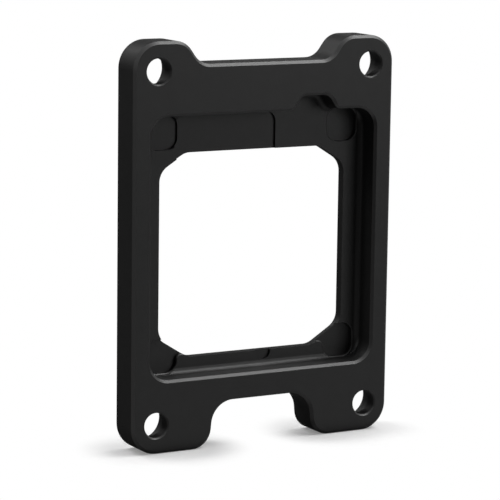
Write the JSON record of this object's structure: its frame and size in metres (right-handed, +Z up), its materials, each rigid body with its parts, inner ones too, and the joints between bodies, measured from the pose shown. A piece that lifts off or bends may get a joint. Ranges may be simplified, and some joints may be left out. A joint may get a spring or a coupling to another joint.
{
  "type": "cpu socket retention frame",
  "caption": "Flat machined aluminium frame that screws down around a processor socket and holds the processor by the rim of its window.",
  "frame": {"origin": "on the surface the frame stands on, midway between the feet and midway through the thickness", "axes": "+Z up the long side, from the feet to the upper lobes; +Y out of the cooler side, so the socket pocket opens towards -Y; +X to the side of the pocket's bay"},
  "size_m": [0.051, 0.0064, 0.071],
  "materials": {
    "anodised_black": "matt black anodised over fine bead blasting"
  },
  "bodies": {
    "root": {"retention_frame": "anodised_black"}
  },
  "joints": []
}
